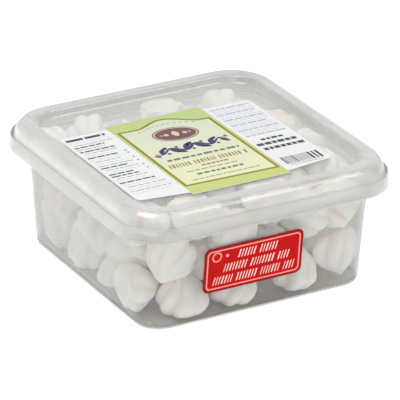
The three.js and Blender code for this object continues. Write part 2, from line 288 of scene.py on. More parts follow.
# where the wall is cut or folded back on itself it is seen on edge, and looks darker; on the tub's rim lip at
# the lid's seam and on its base edge this darker cloud is also painted shade, of the gap at the seam and of the
# line where the base meets the floor
EDGE_PLASTIC_AND_SHADE = clear_plastic("plastic_edge_and_shade", 0.55, (0.50, 0.50, 0.49, 1.0), (0.90, 0.90, 0.89, 1.0), 0.12)
MERINGUE = meringue_material()

# ------------------------------------------------------------------- shells
CORNER = 14  # chords in each rounded corner
SIDE = 14  # chords along each straight side


def rounded(profile, share=0.46, steps=4):
    """Rounds each inner corner of a profile of (half-width, corner radius, height)."""
    p = np.asarray(profile, float)
    out = [p[0]]
    for a, b, c in zip(p[:-2], p[1:-1], p[2:]):
        u, v = a - b, c - b
        lu, lv = math.hypot(u[0], u[2]), math.hypot(v[0], v[2])
        cut = min(share * lu, share * lv, 3.0)
        u, v = b + u * cut / lu, b + v * cut / lv
        for k in range(steps + 1):
            t = k / steps
            out.append((1 - t) ** 2 * u + 2 * t * (1 - t) * b + t * t * v)
    out.append(p[-1])
    return out


def square_ring(h, r, z):
    points = []
    for q in range(4):
        cx = (h - r) * (1 if q in (0, 3) else -1)
        cy = (h - r) * (1 if q < 2 else -1)
        for k in range(CORNER + 1):
            a = math.pi / 2 * (q + k / CORNER)
            points.append((cx + r * math.cos(a), cy + r * math.sin(a), z))
        dx, dy = [(-1, 0), (0, -1), (1, 0), (0, 1)][q]
        x, y, _ = points[-1]
        for k in range(1, SIDE):
            d = 2 * (h - r) * k / SIDE
            points.append((x + dx * d, y + dy * d, z))
    return points


def inner_rings(h, r, z, z_mid=None):
    """Rings from the edge of a flat middle towards its centre."""
    z_mid = z if z_mid is None else z_mid
    return [(h * s, r * s, z + (z_mid - z) * (1 - s)) for s in (0.86, 0.68, 0.5, 0.32, 0.14)]


def shell(name, start, profile, end, materials, on_edge):
    """A closed body of square rings; on_edge(half-width, height) says which rings take the second material."""
    rings = [square_ring(*p) for p in profile]
    n = len(rings[0])
    vertices = [start, *(v for ring in rings for v in ring), end]
    at = lambda j, k: 1 + j * n + k % n
    faces = []
    for k in range(n):
        faces.append((0, at(0, k + 1), at(0, k)))
        faces.append((len(vertices) - 1, at(len(rings) - 1, k), at(len(rings) - 1, k + 1)))
    for j in range(len(rings) - 1):
        for k in range(n):
            faces.append((at(j, k), at(j, k + 1), at(j + 1, k + 1), at(j + 1, k)))
    indices = [0] * (2 * n)
    for a, b in zip(profile[:-1], profile[1:]):
        indices += [int(on_edge((a[0] + b[0]) / 2, (a[2] + b[2]) / 2))] * n
    return mesh_object(name, vertices, faces, materials, indices)


# the tub, from under the middle of its base, up the outside, over the rim and down the inside
BASE_HALF, BASE_Z, TOP_HALF, TOP_Z = 79.4, 3.8, 84.3, 64.4
tub_profile = (
    inner_rings(70.0, 10.5, 0.5)[::-1]
    + rounded(
        [
            (69.0, 10.0, 0.5),
            (70.0, 10.5, 0.5),
            (71.5, 11.5, 0.0),
            (76.9, 14.9, 0.0),
            (78.45, 16.0, 0.7),
            (79.12, 16.5, 2.0),
            (BASE_HALF, 16.7, BASE_Z),
            (81.8, 19.6, 34.0),
            (TOP_HALF, 22.6, TOP_Z),
            (84.9, 23.1, 65.2),
            (93.0, 26.2, 65.2),
            (94.4, 26.9, 65.7),
            (95.0, 27.2, 67.0),
            (94.5, 27.6, 75.6),
            (94.1, 27.4, 75.9),
            (93.65, 27.2, 75.6),
            (93.9, 26.9, 67.4),
            (93.2, 26.4, 66.3),
            (84.7, 23.0, 66.3),
            (83.35, 22.03, 64.5),
            (80.9, 19.0, 34.2),
            (78.45, 15.94, 4.0),
            (77.8, 15.4, 2.4),
            (76.2, 14.4, 1.4),
            (75.0, 13.6, 1.4),
        ]
    )
    + inner_rings(75.0, 13.6, 1.4)
)
# the rim's lip and the base's edge take the darker edge cloud: edge-on plastic, and painted shade at the seam
# and the base
piece(shell("tub_shell", (0, 0, 0.5), tub_profile, (0, 0, 1.4), [TUB_PLASTIC, EDGE_PLASTIC_AND_SHADE],
            lambda h, z: (h > 93.5 and z > 75.4) or (h > 77.2 and z < 1.9)), "clear_plastic", "tub")

lid_profile = (
    inner_rings(76.0, 18.2, 78.4)[::-1]
    + rounded(
        [
            (76.0, 18.2, 78.4),
            (77.0, 18.8, 78.4),
            (78.7, 19.9, 78.6),
            (79.6, 20.6, 79.8),
            (80.8, 21.5, 83.2),
            (81.5, 22.0, 83.6),
            (87.3, 25.6, 83.6),
            (88.8, 26.6, 83.0),
            (90.1, 27.4, 81.7),
            (91.1, 27.7, 79.7),
            (92.1, 27.6, 76.4),
            (92.1, 26.4, 66.65),
            (93.0, 27.0, 66.65),
            (93.0, 28.2, 76.1),
            (92.0, 28.4, 80.0),
            (91.2, 28.2, 81.8),
            (89.2, 27.2, 83.85),
            (87.6, 26.2, 84.5),
            (81.4, 21.8, 84.5),
            (80.5, 21.1, 84.2),
            (80.0, 20.7, 83.5),
            (78.7, 19.8, 80.3),
            (78.0, 19.3, 79.5),
            (76.9, 18.6, 79.3),
            (75.8, 18.0, 79.3),
        ]
    )
    + inner_rings(75.8, 18.0, 79.3)
)
piece(shell("lid_shell", (0, 0, 78.4), lid_profile, (0, 0, 79.3), [LID_PLASTIC, EDGE_PLASTIC_AND_SHADE],
            lambda h, z: z < 67.0), "clear_plastic_lid", "lid")

# ------------------------------------------------------------------- prints
PAPER = 0.3
LAYER = 0.02  # how much each printed layer stands over the one under it


def rect(x0, y0, x1, y1, slant=0.0):
    s = slant * (y1 - y0)
    return [(x0, y0), (x1, y0), (x1 + s, y1), (x0 + s, y1)]


def round_rect(x0, y0, x1, y1, r, steps=8):
    points = []
    for q in range(4):
        cx = x1 - r if q in (0, 3) else x0 + r
        cy = y1 - r if q < 2 else y0 + r
        for k in range(steps + 1):
            a = math.pi / 2 * (q + k / steps)
            points.append((cx + r * math.cos(a), cy + r * math.sin(a)))
    return points


def oval(cx, cy, a, b, turn=0.0, steps=48):
    t = math.radians(turn)
    points = []
    for k in range(steps):
        w = 2 * math.pi * k / steps
        x, y = a * math.cos(w), b * math.sin(w)
        points.append((cx + x * math.cos(t) - y * math.sin(t), cy + x * math.sin(t) + y * math.cos(t)))
    return points


def leaf(cx, cy, length, width, turn, steps=12):
    """A pointed leaf."""
    t = math.radians(turn)
    points = []
    for k in range(2 * steps):
        side = 1 if k < steps else -1
        s = (k if k < steps else 2 * steps - k) / steps
        x, y = length * (s - 0.5), side * 0.5 * width * math.sin(math.pi * s) ** 0.8 if 0 < s < 1 else 0.0
        points.append((cx + x * math.cos(t) - y * math.sin(t), cy + x * math.sin(t) + y * math.cos(t)))
    return points


def ribbon(points, widths):
    """The outline of a line of varying width along a curve."""
    p = np.asarray(points, float)
    along = np.gradient(p, axis=0)
    along /= np.linalg.norm(along, axis=1)[:, None]
    side = np.column_stack([-along[:, 1], along[:, 0]]) * (np.asarray(widths, float) / 2)[:, None]
    return [tuple(v) for v in p + side] + [tuple(v) for v in (p - side)[::-1]]


class Sheet:
    """A flat printed label in its own plane: closed, very thin prisms with one material each."""

    def __init__(self, name, materials):
        self.name, self.materials = name, materials
        self.vertices, self.faces, self.indices = [], [], []

    def prism(self, outline, low, high, ink_name):
        n, at = len(outline), len(self.vertices)
        area = sum(a[0] * b[1] - b[0] * a[1] for a, b in zip(outline, outline[1:] + outline[:1]))
        if area < 0:
            outline = outline[::-1]
        self.vertices += [(x, y, low) for x, y in outline] + [(x, y, high) for x, y in outline]
        self.faces.append(tuple(at + k for k in reversed(range(n))))
        self.faces.append(tuple(at + n + k for k in range(n)))
        for k in range(n):
            j = (k + 1) % n
            self.faces.append((at + k, at + j, at + n + j, at + n + k))
        self.indices += [list(self.materials).index(ink_name)] * (n + 2)

    def ink(self, outline, level, ink_name):
        self.prism(outline, PAPER - 0.1, PAPER + LAYER * level, ink_name)

    def band(self, outer, inner, level, ink_name):
        """A closed line between two outlines with the same number of points."""
        n, at = len(outer), len(self.vertices)
        low, high = PAPER - 0.1, PAPER + LAYER * level
        for pts, z in ((outer, low), (outer, high), (inner, low), (inner, high)):
            self.vertices += [(x, y, z) for x, y in pts]
        o0, o1, i0, i1 = at, at + n, at + 2 * n, at + 3 * n
        for k in range(n):
            j = (k + 1) % n
            self.faces += [
                (o0 + k, o0 + j, o1 + j, o1 + k),
                (o1 + k, o1 + j, i1 + j, i1 + k),
                (i1 + k, i1 + j, i0 + j, i0 + k),
                (i0 + k, i0 + j, o0 + j, o0 + k),
            ]
        self.indices += [list(self.materials).index(ink_name)] * (4 * n)

    def words(self, x0, x1, y, height, ink_name, seed, level=3, word=(2.0, 5.5), gap=0.9, slant=0.0):
        """A row of plain dashes, uneven in length."""
        rng = np.random.default_rng(seed)
        x = x0
        while x < x1 - 0.8:
            w = min(rng.uniform(*word), x1 - x)
            self.ink(rect(x, y - height / 2, x + w, y + height / 2, slant), level, ink_name)
            x += w + gap

    def strokes(self, x0, x1, y, height, ink_name, seed, level=3, thick=(0.8, 1.7), gap=0.9, slant=0.28, word=5):
        """A row of slanted strokes in groups."""
        rng = np.random.default_rng(seed)
        x, count = x0, 0
        while x < x1 - 0.5:
            w = rng.uniform(*thick)
            self.ink(rect(x, y - height / 2, x + w, y + height / 2, slant), level, ink_name)
            count += 1
            x += w + gap * (2.6 if count % word == 0 else 1.0)

    def build(self):
        return mesh_object(
            self.name, self.vertices, self.faces, list(self.materials.values()), self.indices, smooth=False
        )


def offset(points, d):
    """An outline moved inwards by d (anticlockwise outlines)."""
    n, out = len(points), []
    area = sum(a[0] * b[1] - b[0] * a[1] for a, b in zip(points, points[1:] + points[:1]))
    s = 1 if area > 0 else -1
    for k in range(n):
        a, b, c = points[k - 1], points[k], points[(k + 1) % n]
        u = Vector((b[0] - a[0], b[1] - a[1])).normalized()
        v = Vector((c[0] - b[0], c[1] - b[1])).normalized()
        nu, nv = Vector((-u.y, u.x)) * s, Vector((-v.y, v.x)) * s
        m = nu + nv
        m = m / max(m.dot(nu), 0.3)
        out.append((b[0] + m.x * d, b[1] + m.y * d))
    return out


WHITE = lin(231, 232, 232)
INKS = {
    "paper": ink("label_white", WHITE, near(WHITE, 0.975)),
    "green": None,
    "cream": None,
    "gold": ink("label_gold", lin(124, 116, 40), lin(138, 128, 48)),
    "yellow": ink("label_yellow", lin(230, 221, 142), lin(226, 215, 130)),
    "black": ink("label_black", lin(52, 50, 60), lin(62, 60, 70)),
    "grey": ink("label_grey", lin(150, 150, 162), lin(164, 164, 174)),
    "pale": ink("label_pale_grey", lin(202, 203, 212), lin(212, 212, 220)),
    "blue": ink("label_blue_grey", lin(120, 122, 168), lin(134, 136, 176)),
    "navy": ink("label_navy", lin(42, 40, 92), lin(50, 48, 104)),
    "olive": ink("label_olive_text", lin(92, 108, 70), lin(104, 120, 82)),
    "rust": ink("label_rust_text", lin(150, 120, 74), lin(160, 130, 84)),
    "dim": ink("label_dim_text", lin(146, 156, 126), lin(156, 166, 136)),
    "brown": ink("label_brown", lin(96, 66, 62), lin(112, 78, 72)),
    "pink": ink("label_pink", lin(214, 184, 172), lin(222, 194, 182)),
}


def graded(name, a, b, low, high, rough=0.42):
    """Printed paper whose colour drifts from a at y = low to b at y = high, in metres."""
    n = Nodes(name)
    c = n.add("ShaderNodeTexCoord")
    split = n.add("ShaderNodeSeparateXYZ")
    n.link(c.outputs["Object"], split.inputs[0])
    t = n.remap(split.outputs["Y"], low, high)
    drift = n.math("ADD", t, n.remap(n.noise(40.0, 3.0, 0.6), 0.3, 0.7, -0.06, 0.06), clamp=True)
    shader = n.add("ShaderNodeBsdfPrincipled", Roughness=rough)
    n.link(n.mix(drift, a, b), shader.inputs["Base Color"])
    n.link(n.bump(n.noise(900.0, 2.0, 0.6), 0.12, 0.0003), shader.inputs["Normal"])
    return n.done(shader.outputs[0])


INKS["green"] = graded("label_green", lin(194, 206, 120), lin(184, 202, 130), -0.064, 0.050)
INKS["cream"] = graded("label_cream", lin(226, 225, 188), lin(208, 217, 194), -0.045, 0.040)


def top_label():
    s = Sheet("top_label_sheet", INKS)
    left, right, mid_l, mid_r = -74.2, 64.4, -39.8, 29.7
    wing_f, root_f, wing_b, mid_f, mid_b = -56.2, -60.8, 45.9, -63.9, 49.8
    s.prism(
        [
            (left + 2.5, wing_f - 0.33), (mid_l, root_f), (mid_l, mid_f), (mid_r, mid_f), (mid_r, root_f),
            (right - 2.5, wing_f - 0.33), (right - 0.8, wing_f + 0.7), (right, wing_f + 2.5),
            (right, wing_b - 2.5), (right - 0.8, wing_b - 0.8), (right - 2.5, wing_b), (mid_r, wing_b),
            (mid_r, mid_b), (mid_l, mid_b), (mid_l, wing_b), (left + 2.5, wing_b), (left + 0.8, wing_b - 0.8),
            (left, wing_b - 2.5), (left, wing_f + 2.5), (left + 0.8, wing_f + 0.7),
        ],
        0.0, PAPER, "paper",
    )
    s.ink(rect(mid_l + 0.05, mid_f + 0.05, mid_r - 0.05, mid_b - 0.05), 1, "green")
    # the framed panel, with an arch in its back edge
    arch = [(27.6, 33.0), (20.5, 33.4)]
    for k in range(1, 16):
        t = k / 16
        x = 20.5 - 44.5 * t
        y = 33.4 + 3.6 * t + 9.3 * math.sin(math.pi * t) ** 1.6
        arch.append((x, y))
    arch += [(-24.0, 37.0), (-37.4, 37.6), (-38.6, -52.4), (27.9, -54.2)]
    arch = arch[::-1]
    s.ink(arch, 2, "gold")
    s.ink(offset(arch, 1.8), 3, "yellow")
    s.ink(offset(arch, 2.45), 4, "cream")
    # medallion: plain ovals, a drop and dots
    cx, cy = -4.6, 20.0
    s.ink(oval(cx, cy, 15.8, 10.2, -5), 5, "brown")
    s.ink(oval(cx, cy, 14.9, 9.4, -5), 6, "pink")
    s.ink(oval(cx, cy, 14.0, 8.6, -5), 7, "brown")
    s.ink(leaf(cx, cy + 0.3, 8.6, 5.0, 88), 8, "pink")
    for dx, dy, r in ((-6.4, 0.6, 1.7), (6.4, -0.5, 1.7), (-9.6, 0.8, 0.8), (9.6, -0.8, 0.8)):
        s.ink(oval(cx + dx, cy + dy, r, r, 0, 20), 8, "pink")
    for k in range(11):
        t = (k - 5) / 5
        s.ink(rect(cx + 19.5 * t - 1.1, cy + 16.6 - 5.0 * t * t - 0.45, cx + 19.5 * t + 1.1, cy + 16.6 - 5.0 * t * t + 0.45), 5, "dim")
    # a plain navy ornament: a running vine with leaves
    vine = lambda x: -1.2 + 0.03 * x + 3.0 * math.sin(2 * math.pi * x / 18.0)
    xs = np.linspace(-26.5, 26.5, 90)
    s.ink(ribbon([(-5.2 + x, vine(x)) for x in xs], 0.8 + 1.5 * np.cos(xs / 26.5 * math.pi / 2)), 5, "navy")
    for k, x in enumerate(np.arange(-22.5, 23.0, 9.0)):
        up = 1 if k % 2 else -1
        size = 11.0 - 0.12 * abs(x)
        s.ink(leaf(-5.2 + x + 1.6, vine(x) - up * 4.1, size, 0.44 * size, 60 * -up + 4), 6, "navy")
        s.ink(leaf(-5.2 + x - 3.9, vine(x) + up * 1.2, 0.62 * size, 0.32 * size, 38 * up), 6, "navy")
        s.ink(oval(-5.2 + x + 4.5, vine(x + 4.5) + up * 3.6, 1.2, 1.2, 0, 16), 6, "navy")
    # rows of dashes
    s.words(-30.0, 21.5, -14.6, 2.5, "olive", 11, level=5, word=(3.0, 6.5), gap=1.2)
    s.strokes(-33.5, 22.0, -23.2, 5.2, "rust", 12, level=5, thick=(0.9, 1.6), gap=1.1, slant=0.1, word=7)
    s.words(-14.0, 5.5, -29.4, 2.0, "rust", 13, level=5, word=(1.6, 3.0), gap=0.8)
    s.words(-27.0, 9.0, -34.2, 1.4, "dim", 14, level=5)
    s.words(-23.0, 11.0, -39.8, 2.2, "olive", 15, level=5, word=(2.0, 4.5), gap=1.1)
    s.words(-30.0, 18.0, -46.4, 1.3, "dim", 16, level=5)
    # left wing: a bold bar and rows of fine dashes
    s.words(-72.0, -44.4, 40.6, 3.0, "black", 21, level=1, word=(8.0, 13.0), gap=1.4)
    for k in range(25):
        y = 35.6 - 3.45 * k
        bold = k in (2, 4, 7, 12, 15, 16, 19)
        long = -43.6 if k < 3 or k > 20 else (-47.5 if k % 3 else -52.5)
        s.words(-72.0 + (1.6 if k % 4 == 1 else 0.0), long if not bold else min(long, -55.0 + 2 * (k % 5)),
                y, 1.5 if bold else 0.9, "black" if bold else ("grey" if k % 2 else "pale"), 30 + k, level=1,
                word=(2.5, 7.0), gap=0.8)
    for k, y in enumerate((12.8, 9.2, 2.2, -3.4, -10.4, -15.8)):
        s.ink(oval(-44.6, y, 0.85, 0.85, 0, 14), 1, "blue")
    # right wing: pale rows, three bold rows, and a plain code of bars
    for k in range(16):
        y = 41.0 - 3.05 * k
        s.words(32.4, 61.8 - (3.0 if k % 5 == 4 else 0.0), y, 1.25, "pale" if k % 3 else "grey", 60 + k, level=1,
                word=(2.5, 7.5), gap=0.8)
    s.words(38.5, 54.5, -13.0, 2.6, "black", 81, level=1, word=(2.2, 4.4), gap=0.9)
    s.words(32.0, 60.5, -19.6, 3.6, "black", 82, level=1, word=(2.4, 4.8), gap=0.9)
    s.words(33.0, 62.0, -26.8, 3.6, "black", 83, level=1, word=(2.4, 4.8), gap=0.9)
    rng = np.random.default_rng(90)
    x = 34.4
    while x < 60.6:
        middle = 43.0 < x < 53.0
        w = float(rng.choice([0.4, 0.6] if middle else [0.8, 1.3, 1.8]))
        s.ink(rect(x, -52.6, min(x + w, 61.4), -42.2), 1, "black")
        x += w + float(rng.choice([0.8, 1.2] if middle else [0.8, 1.3]))
    s.words(36.0, 59.0, -54.6, 1.1, "grey", 91, level=1, word=(1.0, 2.0), gap=0.8)
    obj = s.build()
    obj.data.transform(Matrix.Translation((0, 0, 79.6 * MM)))
    return piece(obj, "label_paper", "top_label")


top_label()

RED = lin(192, 0, 2)
STICKER_INKS = {
    "red": ink("sticker_red", RED, near(RED, 0.92), rough=0.4, specular=0.08),
    "edge": ink("sticker_edge", lin(140, 8, 12), lin(152, 10, 14), rough=0.4, specular=0.08),
    "line": ink("sticker_line", lin(232, 150, 142), lin(236, 162, 154), rough=0.4, specular=0.08),
    "pale": ink("sticker_pale", lin(244, 206, 198), lin(246, 216, 210), rough=0.4, specular=0.08),
}


def side_label():
    s = Sheet("side_label_sheet", STICKER_INKS)
    w, h, r = 35.1, 15.5, 4.2
    full = round_rect(-w, -h, w, h, r)
    s.prism(full, 0.0, PAPER, "edge")
    inner = round_rect(-w + 1.2, -h + 1.2, w - 1.2, h - 1.2, r - 1.0)
    s.ink(inner, 1, "red")
    a = round_rect(-w + 1.9, -h + 1.9, w - 1.9, h - 1.9, r - 1.2)
    b = round_rect(-w + 2.8, -h + 2.8, w - 2.8, h - 2.8, r - 1.9)
    s.band(a, b, 2, "line")
    s.strokes(-11.5, 19.0, 8.2, 5.4, "pale", 101, level=2, thick=(0.5, 1.0), gap=1.35, word=6)
    s.strokes(-21.5, 25.5, 0.1, 5.4, "pale", 102, level=2, thick=(0.5, 1.0), gap=1.35, word=8)
    s.strokes(-28.6, 28.6, -8.0, 5.4, "pale", 103, level=2, thick=(0.5, 1.0), gap=1.35, word=7)
    s.band(oval(-26.4, 8.9, 3.4, 3.4), oval(-26.4, 8.9, 2.5, 2.5), 2, "line")
    s.ink(oval(-19.0, 8.6, 1.1, 1.1, 0, 18), 2, "line")
    obj = s.build()
    taper = math.atan2(TOP_HALF - BASE_HALF, TOP_Z - BASE_Z)
    wall = BASE_HALF + (35.0 - BASE_Z) * math.tan(taper)
    place = Matrix.Translation((-6.9 * MM, -(wall + PAPER / math.cos(taper)) * MM, 35.0 * MM))
    obj.data.transform(place @ Matrix.Rotation(math.pi / 2 + taper, 4, "X"))
    return piece(obj, "label_red", "side_label")


side_label()

# ------------------------------------------------------------------ cookies
LOBES = 7
AROUND, UP = 98, 46  # grid of each cookie's skin
LIE = [
    (-79.02, -47.55, 17.11, -0.2, 4.4, -15.4), (-44.91, -62.05, 2.64, -84.5, 86.9, -29.3),
    (-50.21, -61.26, 46.91, -136.6, -33.4, -103.5), (-10.24, -62.56, 3.1, -124.9, 84.8, 86.8),
    (34.74, -62.79, 3.41, -113.1, 83.2, -0.8), (61, -60.85, 31.35, -65.3, -69, 8),
    (-16.29, -81.69, 50.94, 90, 5.2, 92.3), (5.61, -57.71, 34.9, -38.9, 1.6, -152.8),
    (46.96, -65.65, 52.48, -166.6, -3.6, -4.7), (72.28, -68.31, 46.55, 152, 31.3, -33.3),
    (-64.67, -18.29, 4.83, 67.5, 75.6, 23.5), (-61.12, 20.63, 5.9, 173.7, 72.6, -42.2),
    (-60.34, 45.81, 14.6, 124.1, 20.1, -4.4), (-70.22, -38.02, 31.13, 39.9, 44.6, -8.7),
    (-61.69, 6.05, 46.57, -123.6, -50.9, 51), (-81.28, 42.04, 45.33, 0.3, 4.6, 104.4),
    (-36.99, 81.23, 62.02, -92.1, 6.5, 108.3), (-70.51, 72.19, 61.06, -67.4, 25.4, 66.4),
    (59.07, 76.76, 60.32, -102, 12, -176), (-34.36, 59.52, 3.7, 74.5, 84.2, -31.4),
    (55.66, 38.34, 19.48, -53, -7.2, -124.2), (57.51, 13.55, 20.68, -98.6, -20.5, -179.5),
    (45.42, 49.71, 18.77, -174.9, 21.9, 93), (3.79, 59.51, 18.75, -159.7, -4, 67.9),
    (50.28, 60.14, 24.04, 25.2, -28.3, 137.5), (62.89, -30.36, 2.8, -49.2, 85.8, 62.3),
    (61.27, 52.25, 53.04, -62.8, -28.9, 64.6), (61.28, -6.23, 31.5, -86, 39.4, 32.4),
    (18.74, 78.45, 19.46, -87.3, 3.6, 5.9), (80.76, -12.27, 62.39, -175.5, 11.6, -158.1),
    (40.82, 68.08, 50.62, -162.8, -18.8, -101.7), (1.88, -24.93, 58.06, 25.4, 22.7, -105.1),
    (-40.15, 58.88, 52.68, -110.3, -44.7, 174.6), (-46.17, -19.51, 58.68, 38.3, -11.5, -35.6),
    (36.21, 5.08, 74.56, 126, -76.3, -141.5), (54.34, -51.13, 29.29, 133.5, 29.3, 173.4),
    (-8.74, 62.37, 43.35, 134.8, 65.9, -147.7), (-12.63, 47.65, 58.79, -80.3, 18.6, 2),
    (22.9, 37.14, 57.93, 40.4, 31.6, 109.6), (-46.13, 19.97, 62.69, 6.9, -9.2, 18.5),
    (63.9, -50.98, 58.51, 71.3, 34.6, -111.3), (9.88, -67.24, 77.71, -156.2, -89.5, 14.6),
    (-41.87, -68.47, 77.61, -141.8, -88.5, 144.1), (-36.67, -59.12, 29.43, 18.4, 20.3, 85.5),
    (-65.38, -59.67, 54.6, 124.3, 54.2, -82.3), (-55.09, 14.38, 58.9, 160.8, 12.3, -108.2),
    (-64.78, -13.12, 57.08, -114, 44.8, -143.6), (13.09, 68.12, 77.9, -23, -89.6, -32),
    (39.61, -31.38, 61.33, 76.6, -18.1, 76), (67.34, 18.65, 77.77, -16.6, -89.5, -110),
    (-9.87, -51.08, 58.01, 98.8, 35.3, -75.5), (-6.08, 10.96, 60.48, -124.2, 16.4, 84.3),
    (36.1, -53.71, 59.73, 104.6, 30.4, 11.1), (20.88, 12.27, 63.77, 151.1, -27.7, 61.7),
    (-39.59, -33.57, 62.16, -106.5, -13.1, -0.7),
]
# the kiss from the middle of its base, out and up to the tip: (radius share, height share)
KISS = [
    (0.0, 0.012), (0.30, 0.008), (0.60, 0.002), (0.76, 0.0), (0.835, 0.018), (0.905, 0.075), (0.965, 0.140),
    (0.995, 0.205), (0.985, 0.280), (0.950, 0.365), (0.895, 0.450), (0.820, 0.535), (0.725, 0.615),
    (0.615, 0.695), (0.500, 0.770), (0.380, 0.840), (0.260, 0.897), (0.155, 0.942), (0.082, 0.972),
    (0.046, 0.991), (0.0, 1.0),
]
RIDGE, CREASE = 1.06, 0.82  # ridge and crease radius over mean radius
# the middle of the heap: kisses in rows and two layers
HEAP_SPACING, HEAP_JITTER, HEAP_LAYERS = 27.4, 2.4, (2.0, 22.5)
HEAP_RADIUS, HEAP_HEIGHT, HEAP_TILT = 15.4, 27.0, 0.5


# the tub's inside at several heights: height, half-width and corner radius
INSIDE = np.array([
    (1.4, 76.2, 14.4), (2.4, 77.8, 15.4), (4.0, 78.45, 15.94), (34.2, 80.9, 19.0), (64.5, 83.35, 22.03),
    (66.3, 84.7, 23.0), (79.0, 84.7, 23.0),
])
CONTACT = 0.25  # the least distance from a cookie's skin to the wall


def keep_inside(p):
    """Flattens a cookie where it meets the wall, the floor or the lid."""
    p = p.copy()
    p[:, 2] = np.clip(p[:, 2], 1.4 + CONTACT, 78.4 - CONTACT)
    half = np.interp(p[:, 2], INSIDE[:, 0], INSIDE[:, 1]) - CONTACT
    radius = np.interp(p[:, 2], INSIDE[:, 0], INSIDE[:, 2])
    flat = np.sign(p[:, :2]) * np.minimum(np.abs(p[:, :2]), half[:, None])
    over = np.maximum(np.abs(flat) - (half - radius)[:, None], 0)
    far = np.hypot(over[:, 0], over[:, 1])
    pull = np.where(far > radius, radius / np.maximum(far, 1e-9), 1.0)[:, None]
    p[:, :2] = np.sign(flat) * (np.abs(flat) - over + over * pull)
    return p


def uneven(i, k):
    s = math.sin(i * 12.9898 + k * 78.233) * 43758.5453
    return s - math.floor(s)


def smooth_curve(points, count):
    """An even walk along a smooth curve through the points."""
    p = np.asarray(points, float)
    p = np.vstack([2 * p[0] - p[1], p, 2 * p[-1] - p[-2]])
    dense = []
    for a, b, c, d in zip(p[:-3], p[1:-2], p[2:-1], p[3:]):
        for t in np.linspace(0, 1, 12, endpoint=False):
            dense.append(
                0.5 * (2 * b + (c - a) * t + (2 * a - 5 * b + 4 * c - d) * t**2 + (3 * b - a - 3 * c + d) * t**3)
            )
    dense.append(p[-2])
    dense = np.array(dense)
    walk = np.r_[0, np.cumsum(np.linalg.norm(np.diff(dense, axis=0), axis=1))]
    at = np.linspace(0, walk[-1], count)
    return np.column_stack([np.interp(at, walk, dense[:, 0]), np.interp(at, walk, dense[:, 1])])


def soft_noise(p, wave, rng, terms=9):
    """A smooth uneven field over points p in millimetres, between about -1 and 1."""
    total = np.zeros(len(p))
    for _ in range(terms):
        k = rng.normal(size=3)
        k *= 2 * math.pi / (wave * rng.uniform(0.75, 1.5)) / np.linalg.norm(k)
        total += np.sin(p @ k + rng.uniform(0, 2 * math.pi))
    return total / math.sqrt(terms)


def turn(azimuth, elevation, spin):
    rz = lambda a: np.array([[math.cos(a), -math.sin(a), 0], [math.sin(a), math.cos(a), 0], [0, 0, 1]])
    ry = lambda a: np.array([[math.cos(a), 0, math.sin(a)], [0, 1, 0], [-math.sin(a), 0, math.cos(a)]])
    d = math.radians
    return rz(d(azimuth)) @ ry(d(90 - elevation)) @ rz(d(spin))


